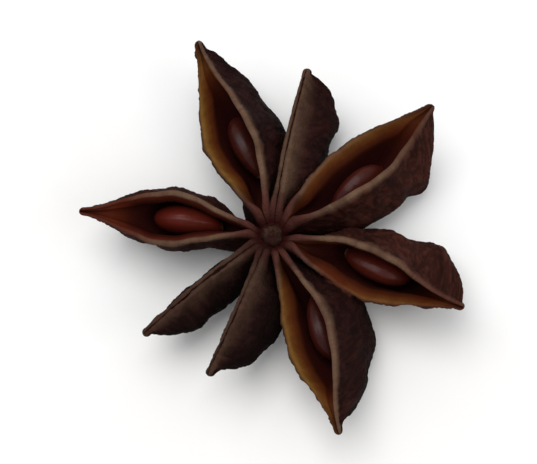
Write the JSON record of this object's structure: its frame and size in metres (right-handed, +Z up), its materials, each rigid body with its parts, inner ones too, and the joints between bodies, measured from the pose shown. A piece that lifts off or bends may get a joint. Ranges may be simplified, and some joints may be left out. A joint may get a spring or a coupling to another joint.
{
  "type": "dried star anise",
  "caption": "Dried star-shaped spice fruit: boat-shaped carpels round a short column, some split open along the top with a glossy seed inside, some thin and shut.",
  "frame": {"origin": "centre of the broken stalk's flat face, under the column, on the surface the fruit lies on", "axes": "+Z up along the column, out of the open side; -Z out of the stalk's face; +X and +Y lie in the plane of the star, +Y towards the longest open carpels at the back"},
  "size_m": [0.0323, 0.0346, 0.0083],
  "materials": {
    "hull": "dry, matt, reddish to grey brown, smooth golden brown inside the lips",
    "seed": "smooth and glossy, reddish brown"
  },
  "bodies": {
    "root": {"carpel_star": "hull", "seed_right": "seed", "seed_back_right": "seed", "seed_back_left": "seed", "seed_left": "seed", "seed_front_right": "seed"}
  },
  "joints": []
}
